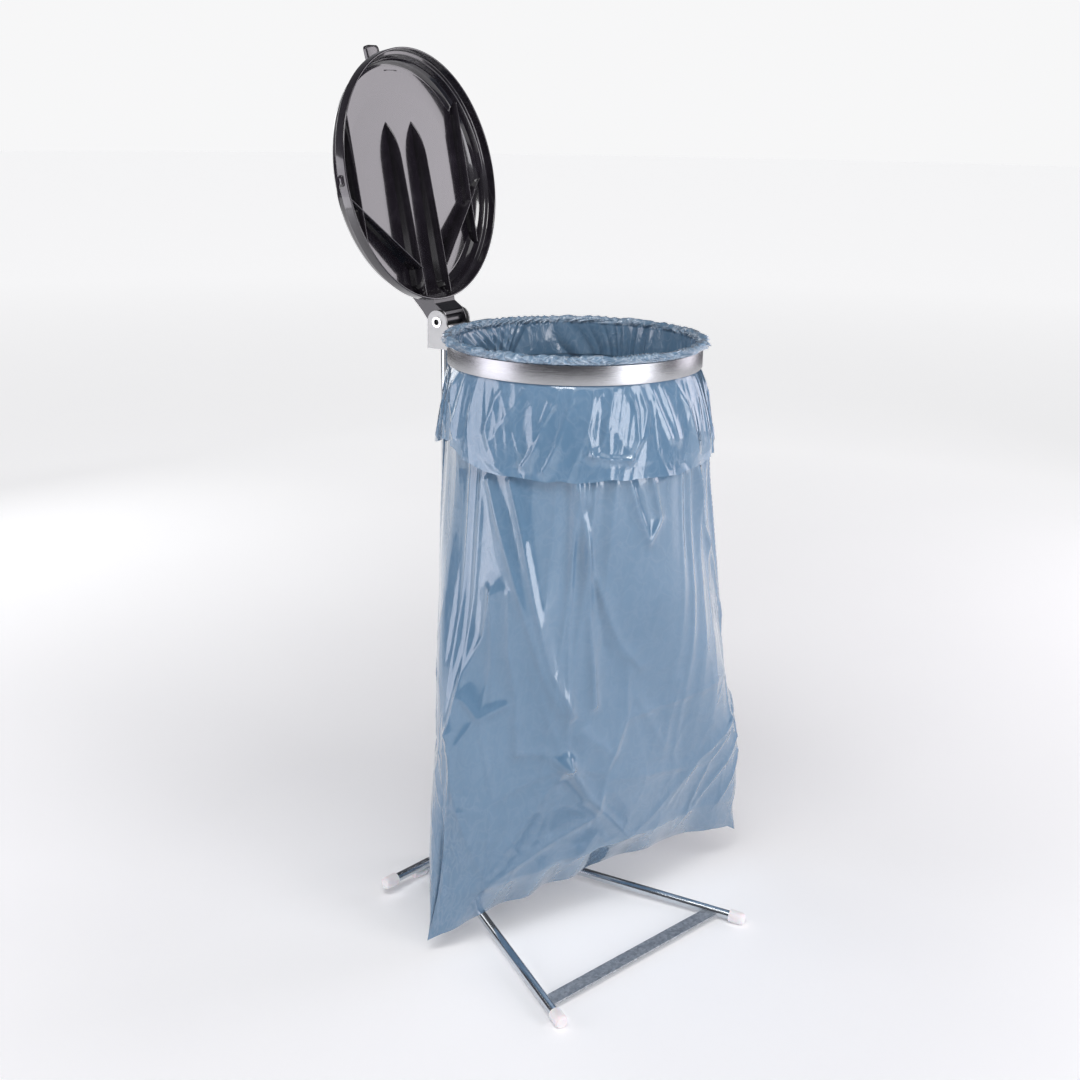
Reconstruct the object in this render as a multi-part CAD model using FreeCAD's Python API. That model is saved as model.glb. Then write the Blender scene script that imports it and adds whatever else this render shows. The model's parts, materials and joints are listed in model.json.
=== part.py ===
import FreeCAD
import Part
import math
import os

# Free-standing refuse-sack stand with a hinged lid, in millimetres, +Z up.
# The stand is designed about the axis of its ring, with the front towards -Y.
# At the end everything is moved so that the origin is under the middle of its box.

os.makedirs("parts", exist_ok=True)

# ---------------------------------------------------------------- ring and band
BAND_R = 206.0            # outside radius of the flat hoop
BAND_T = 2.0
BAND_TOP = 1000.0         # height of the hoop's upper edge over the floor
BAND_H = 30.0
HOOP_R = 200.5            # outside radius of the drop-in hoop
HOOP_T = 1.5
HOOP_BOTTOM = 975.0
BEAD_R = 204.5            # centre line of the rolled bead
BEAD_WIRE = 5.0
BEAD_Z = 1007.2

# ---------------------------------------------------------------- lid and hinge
PIVOT_Y = 248.6
PIVOT_Z = 1015.0
OPEN_ANGLE = 100.9        # from closed to the open rest position
LID_R = 206.0
LID_WALL = 3.0
LID_REACH = 241.8         # from the pivot to the lid's centre
LID_LIFT = 1.6            # the closed rim is this far above the pivot
LID_DEPTH = 40.5          # rim to the top of the lid
RIB_T = 3.0
RIB_X = 35.0              # the two long ribs stand at plus and minus this
RIB_ROOT_Y = 199.0
RIB_TIP_Y = -92.0
LONG_EDGE = [(0.0, 8.5), (0.82, 16.0), (0.9, 21.0), (0.96, 28.5), (1.0, 37.0)]
BRACE_Y = 150.0           # the slanting ribs leave the long ones here
BRACE_END = (194.0, 11.0)
BRACE_EDGE = [(0.0, 8.0), (1.0, 24.0)]
CHORD_X = 153.0           # two ribs across the rim's sides
CHORD_Y = 121.0
CHORD_EDGE = [(0.0, 20.0), (1.0, 20.0)]
GRIP_HALF = 17.5          # half the width of the lid's grip
GRIP_CORNER = 6.5
EAR_OUT = 34.6            # outer faces of the bracket's ears
PLATE = 3.0               # bracket plate
EAR_R = 19.5
ARM_OUT = 29.2            # outer faces of the lid arm's walls
PIN_R = 6.0
PIN_HOLE_R = 5.0
RUN_GAP = 0.05            # radial clearance of the arm on the pivot tube
FLANGE_R = 9.0            # the tube's turned-over ends
FLANGE_T = 1.5
WASHER_R = 11.0
SIDE_GAP = 0.3            # play between the arm and each washer
WEB_Y = BAND_R + 0.3      # front face of the bracket's web, just behind the hoop
EAR_BACK = PIVOT_Y + EAR_R
EAR_BOTTOM = BAND_TOP - BAND_H
EAR_STEP_Y = BAND_R + 14.0
EAR_STEP_Z = BAND_TOP - 0.5
RIVET_X = (-16.0, 16.0)
RIVET_R = 2.5
RIVET_Z = BAND_TOP - BAND_H / 2
RIVET_FLAT_R = 4.0        # the thin hammered side, inside the hoop
RIVET_FLAT_T = 0.9
RIVET_HEAD_R = 4.5
RIVET_HEAD_T = 2.2
LID_Y = PIVOT_Y - LID_REACH
RIM_Z = PIVOT_Z + LID_LIFT
ARM_WALL = 3.0
ARM_PLATE_T = 4.0
ARM_PLATE_FRONT = 118.0   # the arm's top plate reaches this far from the lid's centre
SCREW_XY = [(x, LID_Y + y) for x in (-16.0, 16.0) for y in (130.0, 170.0)]

# ---------------------------------------------------------------- post and base
POST_Y = 254.2
POST_R = 9.0
POST_WALL = 1.5
POST_TOP = 992.0
SOCKET_R = 14.0
SOCKET_BOTTOM = 12.0
SOCKET_TOP = 59.0
POST_LOW = SOCKET_BOTTOM + 4.0
PLUG_GRIP = 14.0
CLAMP_R = 2.5             # the screw that fixes the post in the socket
CLAMP_Z = 42.0
BASE_TURN = -14.5         # the head is turned this far on the post, in degrees
TUBE_R = 8.0
TUBE_WALL = 1.5
CAP_R = 11.0
CAP_LEN = 26.0
CAP_GRIP = 19.0           # how far a tube end reaches into its cap
FLOOR_FLAT = 0.4          # the caps' undersides are flattened this much
LOW_Z = CAP_R - FLOOR_FLAT
FOOT_CAP_R = 9.5          # the short tube's caps are slimmer, to pass under the legs
FOOT_TUBE_Z = FOOT_CAP_R - FLOOR_FLAT
HIGH_Z = FOOT_TUBE_Z + 2 * TUBE_R + 0.3
FRONT_FOOT = (220.0, 527.0)   # sideways and forwards from the post
BEND = (46.0, 27.0)
REAR_FOOT = (174.0, 38.0)
BEND_RADIUS = 20.0
FOOT_TUBE_FWD = SOCKET_R + TUBE_R + 0.2
FOOT_TUBE_HALF = 96.0
STRIP_FWD = 478.0
STRIP_W = 26.0
STRIP_T = 3.0

# ---------------------------------------------------------------- sack
FILM = 1.2
SEAM_TURN = -25.0         # the flat bottom seam points this way, in degrees
# height, half length along the seam, half depth, offset of the centre in x and y
SACK_SECTIONS = [
    (958.0, 197.6, 197.6, 0.0, 0.0),
    (905.0, 206.0, 206.0, 0.0, 0.0),
    (820.0, 214.0, 210.0, 1.0, -6.0),
    (620.0, 246.0, 182.0, 3.0, -20.0),
    (420.0, 282.0, 142.0, 4.0, -32.0),
    (250.0, 308.0, 106.0, 5.0, -42.0),
    (120.0, 322.0, 62.0, 6.0, -50.0),
    (46.0, 334.0, 9.0, 8.0, -56.0),
]


def vec(x, y, z):
    return FreeCAD.Vector(x, y, z)


def ring_box(inner, outer, low, high):
    """A hoop of rectangular section about the ring's axis."""
    wall = Part.makeCylinder(outer, high - low, vec(0, 0, low))
    return wall.cut(Part.makeCylinder(inner, high - low + 2, vec(0, 0, low - 1)))


def revolve(points):
    """A closed polygon of (radius, height) points turned about the ring's axis."""
    wire = Part.makePolygon([vec(r, 0, z) for r, z in points + points[:1]])
    return Part.Face(wire).revolve(vec(0, 0, 0), vec(0, 0, 1), 360)


def bar_x(radius, start, end):
    """A round bar on the hinge line from x = start to x = end."""
    return Part.makeCylinder(radius, end - start, vec(start, PIVOT_Y, PIVOT_Z), vec(1, 0, 0))


def bar_y(radius, x, z, start, end):
    """A round bar along Y from y = start to y = end."""
    return Part.makeCylinder(radius, end - start, vec(x, start, z), vec(0, 1, 0))


def side_plate(points, x, thickness):
    """A flat plate cut to (y, z) points, standing square to X."""
    wire = Part.makePolygon([vec(x, y, z) for y, z in points + points[:1]])
    return Part.Face(wire).extrude(vec(thickness, 0, 0))


def arc_points(cy, cz, radius, start, end, count):
    """Points on an arc in the (y, z) plane, angles in degrees from +Y towards +Z."""
    steps = [math.radians(start + (end - start) * i / count) for i in range(count + 1)]
    return [(cy + radius * math.cos(a), cz + radius * math.sin(a)) for a in steps]


def base_point(side, forward, z):
    """A point given sideways and forwards from the post, turned with the base."""
    a = math.radians(BASE_TURN)
    x = side * math.cos(a) + forward * math.sin(a)
    y = side * math.sin(a) - forward * math.cos(a)
    return vec(x, POST_Y + y, z)


def unit(a, b):
    d = b.sub(a)
    return d.multiply(1.0 / d.Length)


def rounded_path(points, radius):
    """A wire of straight runs joined by tangent arcs of one radius."""
    edges = []
    start = points[0]
    for a, b, c in zip(points, points[1:], points[2:]):
        back = unit(b, a)
        on = unit(b, c)
        half = 0.5 * back.getAngle(on)
        reach = radius / math.tan(half)
        p = b.add(FreeCAD.Vector(back).multiply(reach))
        q = b.add(FreeCAD.Vector(on).multiply(reach))
        middle = unit(vec(0, 0, 0), back.add(on))
        mid = b.add(middle.multiply(radius / math.sin(half) - radius))
        edges.append(Part.LineSegment(start, p).toShape())
        edges.append(Part.Arc(p, mid, q).toShape())
        start = q
    edges.append(Part.LineSegment(start, points[-1]).toShape())
    return Part.Wire(edges)


def pipe(path, radius):
    """A round bar swept along a path."""
    first = path.Edges[0]
    start = first.valueAt(first.FirstParameter)
    heading = first.tangentAt(first.FirstParameter)
    circle = Part.Wire(Part.makeCircle(radius, start, heading))
    return path.makePipeShell([circle], True, False)


def tube(points, radius, wall, bend):
    path = rounded_path(points, bend)
    return pipe(path, radius).cut(pipe(path, radius - wall))


def end_cap(tip, heading, radius):
    """A blind plastic cap with a domed end, pushed over a tube end. tip is the tube's end."""
    mouth = tip.sub(heading * CAP_GRIP)
    straight = CAP_LEN - radius * 0.6
    outer = Part.makeCylinder(radius, straight, mouth, heading)
    dome = Part.makeSphere(radius, mouth.add(heading * straight))
    cap = outer.fuse(dome)
    beyond = Part.makeCylinder(radius + 1, radius + 1, mouth.add(heading * CAP_LEN), heading)
    inner = Part.makeCylinder(TUBE_R, CAP_GRIP, mouth, heading)
    return cap.removeSplitter().cut(beyond).cut(inner)


def flatten_low(cap):
    """Cuts the small flat that a low cap stands on."""
    below = Part.makeBox(2000, 2000, 50, vec(-1000, -1000, -50))
    return cap.cut(below)


# ---------------------------------------------------------------- base
def leg_points(side):
    front = base_point(side * FRONT_FOOT[0], FRONT_FOOT[1], LOW_Z)
    bend = base_point(side * BEND[0], BEND[1], HIGH_Z)
    rear = base_point(side * REAR_FOOT[0], REAR_FOOT[1], HIGH_Z)
    return [front, bend, rear]


def foot_tube_end(side):
    return base_point(side * FOOT_TUBE_HALF, FOOT_TUBE_FWD, FOOT_TUBE_Z)


def leg_tube(side):
    return tube(leg_points(side), TUBE_R, TUBE_WALL, BEND_RADIUS)


def leg_cap(side, end):
    points = leg_points(side)
    tip = points[0] if end == "front" else points[2]
    cap = end_cap(tip, unit(points[1], tip), CAP_R)
    return flatten_low(cap) if end == "front" else cap


def rear_foot_tube():
    left = foot_tube_end(-1)
    right = foot_tube_end(1)
    heading = unit(left, right)
    length = 2 * FOOT_TUBE_HALF
    bar = Part.makeCylinder(TUBE_R, length, left, heading)
    return bar.cut(Part.makeCylinder(TUBE_R - TUBE_WALL, length, left, heading))


def foot_tube_cap(side):
    tip = foot_tube_end(side)
    return flatten_low(end_cap(tip, unit(foot_tube_end(-side), tip), FOOT_CAP_R))


def front_strip():
    """A flat strip between the two legs, its ends cut to the tubes."""
    corners = [(-230, STRIP_FWD - STRIP_W / 2), (230, STRIP_FWD - STRIP_W / 2),
               (230, STRIP_FWD + STRIP_W / 2), (-230, STRIP_FWD + STRIP_W / 2)]
    low = LOW_Z - STRIP_T / 2
    wire = Part.makePolygon([base_point(s, f, low) for s, f in corners + corners[:1]])
    plate = Part.Face(wire).extrude(vec(0, 0, STRIP_T))
    for side in (-1, 1):
        path = rounded_path(leg_points(side), BEND_RADIUS)
        plate = plate.cut(pipe(path, TUBE_R + 0.02))
    middle = base_point(0, STRIP_FWD, LOW_Z)
    return min(plate.Solids, key=lambda s: s.CenterOfMass.sub(middle).Length)


def post_socket():
    foot = vec(0, POST_Y, SOCKET_BOTTOM)
    height = SOCKET_TOP - SOCKET_BOTTOM
    collar = Part.makeCylinder(SOCKET_R, height, foot)
    collar = collar.makeChamfer(1.2, [collar.Edges[0]])
    collar = collar.cut(Part.makeCylinder(POST_R, height, vec(0, POST_Y, POST_LOW)))
    return collar.cut(bar_y(CLAMP_R + 0.1, 0, CLAMP_Z, POST_Y + POST_R - 1, POST_Y + SOCKET_R + 1))


def clamp_screw():
    seat = POST_Y + SOCKET_R + 0.1
    shank = bar_y(CLAMP_R, 0, CLAMP_Z, POST_Y + POST_R + 0.05, seat + 1)
    head = bar_y(2 * CLAMP_R, 0, CLAMP_Z, seat, seat + 4)
    key_hole = bar_y(2.2, 0, CLAMP_Z, seat + 2, seat + 5)
    return shank.fuse(head).removeSplitter().cut(key_hole)


def post():
    bar = Part.makeCylinder(POST_R, POST_TOP - POST_LOW, vec(0, POST_Y, POST_LOW))
    return bar.cut(Part.makeCylinder(POST_R - POST_WALL, POST_TOP, vec(0, POST_Y, POST_LOW - 1)))


def post_plug():
    stem = Part.makeCylinder(POST_R - POST_WALL, PLUG_GRIP, vec(0, POST_Y, POST_TOP - PLUG_GRIP))
    head = Part.makeCylinder(POST_R, 2.4, vec(0, POST_Y, POST_TOP))
    head = head.makeChamfer(0.8, [head.Edges[0]])
    return stem.fuse(head).removeSplitter()


# ---------------------------------------------------------------- bracket, band, ring
def hinge_bracket():
    """Folded plate: a web against the band, two ears, and a shelf that the post passes through."""
    top = arc_points(PIVOT_Y, PIVOT_Z, EAR_R, 0, 180, 24)
    outline = [(WEB_Y, EAR_BOTTOM), (EAR_BACK, EAR_BOTTOM)] + top
    outline += [(PIVOT_Y - EAR_R, EAR_STEP_Z + 12), (EAR_STEP_Y, EAR_STEP_Z + 4)]
    outline += [(EAR_STEP_Y, EAR_STEP_Z), (WEB_Y, EAR_STEP_Z)]
    plate = side_plate(outline, EAR_OUT - PLATE, PLATE)
    plate = plate.fuse(side_plate(outline, -EAR_OUT, PLATE))
    width = 2 * (EAR_OUT - PLATE)
    web = Part.makeBox(width, PLATE, EAR_STEP_Z - EAR_BOTTOM, vec(-width / 2, WEB_Y, EAR_BOTTOM))
    shelf = Part.makeBox(width, EAR_BACK - WEB_Y, PLATE, vec(-width / 2, WEB_Y, EAR_BOTTOM))
    plate = plate.fuse(web).fuse(shelf).removeSplitter()
    post_hole = Part.makeCylinder(POST_R, 3 * PLATE, vec(0, POST_Y, EAR_BOTTOM - PLATE))
    plate = plate.cut(bar_x(PIN_R, -EAR_OUT - 1, EAR_OUT + 1)).cut(post_hole)
    for x in RIVET_X:
        plate = plate.cut(bar_y(RIVET_R, x, RIVET_Z, WEB_Y - 1, WEB_Y + PLATE + 1))
    return plate


def band_rivets():
    rivets = []
    for x in RIVET_X:
        inside = math.sqrt((BAND_R - BAND_T) ** 2 - (abs(x) + RIVET_FLAT_R) ** 2)
        end = WEB_Y + PLATE
        shank = bar_y(RIVET_R, x, RIVET_Z, inside, end)
        flat = bar_y(RIVET_FLAT_R, x, RIVET_Z, inside - RIVET_FLAT_T, inside)
        head = bar_y(RIVET_HEAD_R, x, RIVET_Z, end, end + RIVET_HEAD_T)
        head = head.makeChamfer(0.9, [head.Edges[0]])
        rivets.append(shank.fuse(flat).fuse(head).removeSplitter())
    return Part.makeCompound(rivets)


def holder_band():
    band = ring_box(BAND_R - BAND_T, BAND_R, BAND_TOP - BAND_H, BAND_TOP)
    for x in RIVET_X:
        band = band.cut(bar_y(RIVET_R, x, RIVET_Z, BAND_R - 10, BAND_R + 10))
    return band


def sack_ring():
    hoop = ring_box(HOOP_R - HOOP_T, HOOP_R, HOOP_BOTTOM, BEAD_Z)
    bead = Part.makeTorus(BEAD_R, BEAD_WIRE, vec(0, 0, BEAD_Z), vec(0, 0, 1))
    return hoop.fuse(bead)


def pivot_tube():
    barrel = bar_x(PIN_R, -EAR_OUT, EAR_OUT)
    barrel = barrel.fuse(bar_x(FLANGE_R, -EAR_OUT - FLANGE_T, -EAR_OUT))
    barrel = barrel.fuse(bar_x(FLANGE_R, EAR_OUT, EAR_OUT + FLANGE_T))
    return barrel.removeSplitter().cut(bar_x(PIN_HOLE_R, -EAR_OUT - 5, EAR_OUT + 5))


def pivot_washers():
    near = ARM_OUT + SIDE_GAP
    far = EAR_OUT - PLATE
    bore = bar_x(PIN_R, -EAR_OUT, EAR_OUT)
    rings = [bar_x(WASHER_R, near, far), bar_x(WASHER_R, -far, -near)]
    return Part.makeCompound([ring.cut(bore) for ring in rings])


# ---------------------------------------------------------------- lid, drawn closed
def lid_profile(inset):
    """The lid's section from rim to top: skirt, step, slope and flat top, set in by the wall."""
    return [
        (LID_R - inset, 0.0),
        (LID_R - inset, 17.0 - 0.8 * inset),
        (LID_R - 6.5 - inset, 19.5 - 0.9 * inset),
        (LID_R - 9.5 - inset, 30.0 - 0.8 * inset),
        (LID_R - 13.0 - inset, 35.5 - 0.9 * inset),
        (LID_R - 22.0 - inset, 39.0 - inset),
        (LID_R - 60.0, LID_DEPTH - 0.5 - inset),
        (0.0, LID_DEPTH - inset),
    ]


def lid_rim_volume():
    """Everything inside the lid's outer skin, for cutting its neighbours."""
    solid = revolve(lid_profile(0.0) + [(0.0, 0.0)])
    solid.translate(vec(0, LID_Y, RIM_Z))
    return solid


def lid_rib(start, end, edge):
    """A thin upright rib under the lid between two (x, y) points.
    edge gives its free edge as (share of the way, distance from the rim's plane)."""
    a = vec(start[0], start[1], 0)
    b = vec(end[0], end[1], 0)
    foot = vec(0, 0, LID_DEPTH - LID_WALL + 1.0)
    outline = [a.add(b.sub(a) * share).add(vec(0, 0, depth)) for share, depth in edge]
    outline += [b.add(foot), a.add(foot)]
    across = unit(a, b).cross(vec(0, 0, 1)) * RIB_T
    face = Part.Face(Part.makePolygon(outline + outline[:1]))
    face.translate(across * -0.5)
    return face.extrude(across)


def lid_shell():
    outer = lid_profile(0.0)
    inner = lid_profile(LID_WALL)
    shell = revolve(outer + inner[::-1])
    room = revolve([(r - 0.01 if r else r, z) for r, z in outer] + [(0.0, 0.0)])
    for side in (-1, 1):
        ribs = [
            lid_rib((side * RIB_X, RIB_ROOT_Y), (side * RIB_X, RIB_TIP_Y), LONG_EDGE),
            lid_rib((side * RIB_X, BRACE_Y), (side * BRACE_END[0], BRACE_END[1]), BRACE_EDGE),
            lid_rib((side * CHORD_X, CHORD_Y), (side * CHORD_X, -CHORD_Y), CHORD_EDGE),
        ]
        for rib in ribs:
            shell = shell.fuse(rib.common(room))
        lug = Part.makeBox(4.0, 18.0, 9.0, vec(side * (LID_R + 0.5) - 2.0, -9.0, 6.0))
        shell = shell.fuse(lug)
    shell = shell.fuse(grip_lip())
    shell.translate(vec(0, LID_Y, RIM_Z))
    return shell.removeSplitter()


def grip_lip():
    """The grip on top of the lid's front: it rises, then reaches out past the rim."""
    side = [(-167.5, 38.3), (-176.9, 38.3), (-192.3, 63.2), (-221.2, 65.5), (-220.8, 73.5), (-187.7, 70.8)]
    bend = Part.makePolygon([vec(-GRIP_HALF, y, z) for y, z in side + side[:1]])
    bend = Part.Face(bend).extrude(vec(2 * GRIP_HALF, 0, 0))
    block = Part.makeBox(2 * GRIP_HALF, 100.0, 50.0, vec(-GRIP_HALF, -222.0, 35.0))
    corners = [e for e in block.Edges if abs(e.tangentAt(e.FirstParameter).z) > 0.9]
    corners = [e for e in corners if e.CenterOfMass.y < -200.0]
    return bend.common(block.makeFillet(GRIP_CORNER, corners))


def lid_hinge_arm():
    """Channel arm: two walls on the pivot, a web under them and a plate on top of the lid."""
    top = RIM_Z + LID_DEPTH + 0.05
    boss = arc_points(PIVOT_Y, PIVOT_Z, 17.0, -110, 75, 20)
    outline = boss + [
        (PIVOT_Y - 22.0, PIVOT_Z + 30.0),
        (PIVOT_Y - 46.0, top + ARM_PLATE_T),
        (LID_Y + ARM_PLATE_FRONT, top + ARM_PLATE_T),
        (LID_Y + ARM_PLATE_FRONT, top),
        (LID_Y + 150.0, top - 6.0),
        (LID_Y + LID_R - 5.0, RIM_Z + 0.4),
        (PIVOT_Y - 31.0, RIM_Z + 0.4),
        (PIVOT_Y - 17.0, PIVOT_Z - 12.0),
    ]
    arm = side_plate(outline, ARM_OUT - ARM_WALL, ARM_WALL)
    arm = arm.fuse(side_plate(outline, -ARM_OUT, ARM_WALL))
    width = 2 * (ARM_OUT - ARM_WALL)
    web = [
        (PIVOT_Y - 17.0, PIVOT_Z - 12.0),
        (PIVOT_Y - 31.0, RIM_Z + 0.4),
        (LID_Y + LID_R - 5.0, RIM_Z + 0.4),
        (LID_Y + LID_R - 5.0, RIM_Z + 3.4),
        (PIVOT_Y - 29.5, RIM_Z + 3.4),
        (PIVOT_Y - 14.6, PIVOT_Z - 10.0),
    ]
    arm = arm.fuse(side_plate(web, -width / 2, width))
    plate_length = LID_REACH - 46.0 - ARM_PLATE_FRONT
    corner = vec(-width / 2, LID_Y + ARM_PLATE_FRONT, top)
    plate = Part.makeBox(width, plate_length, ARM_PLATE_T, corner)
    arm = arm.fuse(plate)
    barrel = bar_x(PIN_R + 3.5, -ARM_OUT, ARM_OUT)
    arm = arm.fuse(barrel).cut(lid_rim_volume())
    arm = arm.cut(bar_x(PIN_R + RUN_GAP, -ARM_OUT - 1, ARM_OUT + 1))
    for x, y in SCREW_XY:
        arm = arm.cut(Part.makeCylinder(2.1, 20, vec(x, y, top - 8)))
    return arm.removeSplitter()


def arm_screws():
    """Pan-head screws through the arm's plate into the lid."""
    screws = []
    seat = RIM_Z + LID_DEPTH + ARM_PLATE_T + 0.05
    for x, y in SCREW_XY:
        head = Part.makeCylinder(4.0, 2.4, vec(x, y, seat))
        head = head.makeChamfer(0.8, [head.Edges[0]])
        shank = Part.makeCylinder(2.0, ARM_PLATE_T, vec(x, y, seat - ARM_PLATE_T))
        screws.append(head.fuse(shank).removeSplitter())
    return Part.makeCompound(screws)


# ---------------------------------------------------------------- sack
def sack_rim():
    """The film folded over the bead: up inside the hoop, over, and down between hoop and band."""
    low = 958.2
    thick = 2.4
    over = BEAD_WIRE + 0.4
    inner = HOOP_R - HOOP_T - 0.4
    outline = [(inner - FILM, low), (inner - FILM, BEAD_Z)]
    crown = [math.radians(a) for a in range(165, -61, -15)]
    outline += [(BEAD_R + (over + thick) * math.cos(a), BEAD_Z + (over + thick) * math.sin(a))
                for a in crown]
    gap_in = HOOP_R + 0.5
    gap_out = gap_in + 0.9
    outline += [(gap_out + 1.0, BAND_TOP + 0.3), (gap_out, BAND_TOP - 0.8)]
    outline += [(gap_out, BAND_TOP - BAND_H - 3.0)]
    outline += [(gap_in, BAND_TOP - BAND_H - 3.0), (gap_in, BAND_TOP + 0.9)]
    outline += [(BEAD_R + over * math.cos(a), BEAD_Z + over * math.sin(a)) for a in crown[::-1]]
    outline += [(inner, BEAD_Z), (inner, low)]
    return revolve(outline)


def sack_cuff():
    """The loose end of the sack, hanging outside under the band and flaring out."""
    top = BAND_TOP - BAND_H - 3.2
    line = [(HOOP_R + 0.7, top), (209.0, 950.0), (213.5, 915.0), (217.5, 875.0), (221.5, 828.0)]
    outer = [(r + FILM, z) for r, z in line]
    return revolve(line + outer[::-1])


def section_wire(section, inset):
    z, half_long, half_deep, x, y = section
    major = max(half_long, half_deep) - inset
    minor = max(min(half_long, half_deep) - inset, 1.0)
    outline = Part.Circle(vec(0, 0, 0), vec(0, 0, 1), major)
    if major - minor > 0.01:
        outline = Part.Ellipse(vec(0, 0, 0), major, minor)
    wire = Part.Wire(outline.toShape())
    wire.rotate(vec(0, 0, 0), vec(0, 0, 1), SEAM_TURN)
    wire.translate(vec(x, y, z))
    return wire


def sack_body():
    """The hanging bag: round in the ring, flattening downwards to its straight bottom seam."""
    outer = Part.makeLoft([section_wire(s, 0.0) for s in SACK_SECTIONS], True, False)
    hollow = [list(s) for s in SACK_SECTIONS[:-1]]
    hollow[0][0] += 1.0
    inner = Part.makeLoft([section_wire(s, 2.0) for s in hollow], True, False)
    return outer.cut(inner)


# ---------------------------------------------------------------- assembly
FIXED = {
    "left_leg_tube": lambda: leg_tube(-1),
    "right_leg_tube": lambda: leg_tube(1),
    "rear_foot_tube": rear_foot_tube,
    "front_strip": front_strip,
    "post_socket": post_socket,
    "clamp_screw": clamp_screw,
    "post": post,
    "post_plug": post_plug,
    "front_left_cap": lambda: leg_cap(-1, "front"),
    "front_right_cap": lambda: leg_cap(1, "front"),
    "rear_left_cap": lambda: leg_cap(-1, "rear"),
    "rear_right_cap": lambda: leg_cap(1, "rear"),
    "foot_tube_left_cap": lambda: foot_tube_cap(-1),
    "foot_tube_right_cap": lambda: foot_tube_cap(1),
    "hinge_bracket": hinge_bracket,
    "band_rivets": band_rivets,
    "holder_band": holder_band,
    "sack_ring": sack_ring,
    "pivot_tube": pivot_tube,
    "pivot_washers": pivot_washers,
    "sack_rim": sack_rim,
    "sack_cuff": sack_cuff,
    "sack_body": sack_body,
}
LID = {
    "lid_shell": lid_shell,
    "lid_hinge_arm": lid_hinge_arm,
    "arm_screws": arm_screws,
}

shapes = {}
for name, make in FIXED.items():
    shapes[name] = make()
for name, make in LID.items():
    shapes[name] = make()
    shapes[name].rotate(vec(0, PIVOT_Y, PIVOT_Z), vec(1, 0, 0), -OPEN_ANGLE)

box = Part.makeCompound(list(shapes.values())).optimalBoundingBox(False)
move = vec(-box.Center.x, -box.Center.y, 0)
for name, shape in shapes.items():
    shape.translate(move)
    shape.exportStep("parts/" + name + ".step")
    print(name, "solids", len(shape.Solids), "valid", shape.isValid(), "volume", round(shape.Volume))
pivot = vec(0, PIVOT_Y, PIVOT_Z).add(move)
print("ring axis", round(move.x, 3), round(move.y, 3), "floor shift", round(move.z, 3))
print("pivot", round(pivot.x, 3), round(pivot.y, 3), round(pivot.z, 3))
print("box", [round(v, 1) for v in (box.XLength, box.YLength, box.ZLength)])
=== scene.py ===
# %% [markdown]
# # A stand for refuse sacks
# The real object is a light steel stand. A ring on a post holds a thin plastic sack open, a
# moulded lid swings up behind it, and two bent tubes with white caps make the foot.
# The engineering model is loaded first, so every new piece can be placed by its numbers.

# %% Load the frame
import json
import math

import bmesh
import bpy
import numpy as np
from mathutils import Matrix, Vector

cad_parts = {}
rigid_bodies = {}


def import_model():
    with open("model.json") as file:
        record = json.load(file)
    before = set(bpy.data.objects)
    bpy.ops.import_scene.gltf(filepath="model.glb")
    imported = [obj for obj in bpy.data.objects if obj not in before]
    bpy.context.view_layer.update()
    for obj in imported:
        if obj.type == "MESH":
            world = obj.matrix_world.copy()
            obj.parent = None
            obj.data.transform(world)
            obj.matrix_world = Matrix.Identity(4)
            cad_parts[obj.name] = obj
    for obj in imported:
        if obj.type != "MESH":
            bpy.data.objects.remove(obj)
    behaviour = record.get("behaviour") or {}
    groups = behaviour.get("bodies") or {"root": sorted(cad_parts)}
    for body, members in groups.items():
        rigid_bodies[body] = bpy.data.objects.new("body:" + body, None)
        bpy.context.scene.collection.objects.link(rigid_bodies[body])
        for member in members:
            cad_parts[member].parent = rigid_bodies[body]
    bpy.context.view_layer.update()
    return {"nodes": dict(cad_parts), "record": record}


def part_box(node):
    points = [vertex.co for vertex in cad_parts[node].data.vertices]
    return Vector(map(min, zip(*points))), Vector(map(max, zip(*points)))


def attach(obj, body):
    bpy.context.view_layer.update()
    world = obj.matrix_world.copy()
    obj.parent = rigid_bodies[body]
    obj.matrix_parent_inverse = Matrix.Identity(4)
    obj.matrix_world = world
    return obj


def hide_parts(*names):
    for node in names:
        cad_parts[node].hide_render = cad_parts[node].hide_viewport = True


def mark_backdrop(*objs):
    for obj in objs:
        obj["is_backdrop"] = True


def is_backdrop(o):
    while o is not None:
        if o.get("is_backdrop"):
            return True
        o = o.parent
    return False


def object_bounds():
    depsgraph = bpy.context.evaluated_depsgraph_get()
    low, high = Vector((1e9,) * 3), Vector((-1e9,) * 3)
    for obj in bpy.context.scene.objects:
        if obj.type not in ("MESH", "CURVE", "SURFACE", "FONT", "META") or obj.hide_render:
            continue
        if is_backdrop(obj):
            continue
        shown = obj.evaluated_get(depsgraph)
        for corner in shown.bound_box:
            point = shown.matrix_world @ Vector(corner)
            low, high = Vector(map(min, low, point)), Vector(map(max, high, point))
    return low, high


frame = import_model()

MM = 0.001
low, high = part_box("holder_band")
RING = np.array([(low.x + high.x) / 2, (low.y + high.y) / 2, 0.0])
hinge = frame["record"]["behaviour"]["joints"][0]
PIVOT = np.array(hinge["pos_m"])
OPEN = math.radians(hinge["range_deg"][1])
print("ring axis", RING[:2].round(4), "hinge", PIVOT.round(4), "opens", hinge["range_deg"][1], "degrees")

# %% [markdown]
# ## Surfaces from grids
# Sheet metal, mouldings and film are all smooth skins, so each one here is a grid of points.
# Neighbouring points make a four-sided face. Box modelling would also work, but a formula keeps
# the sizes exact and can be changed in one place.

# %% Grid to mesh
SAME_PLACE = 1e-6


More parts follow.
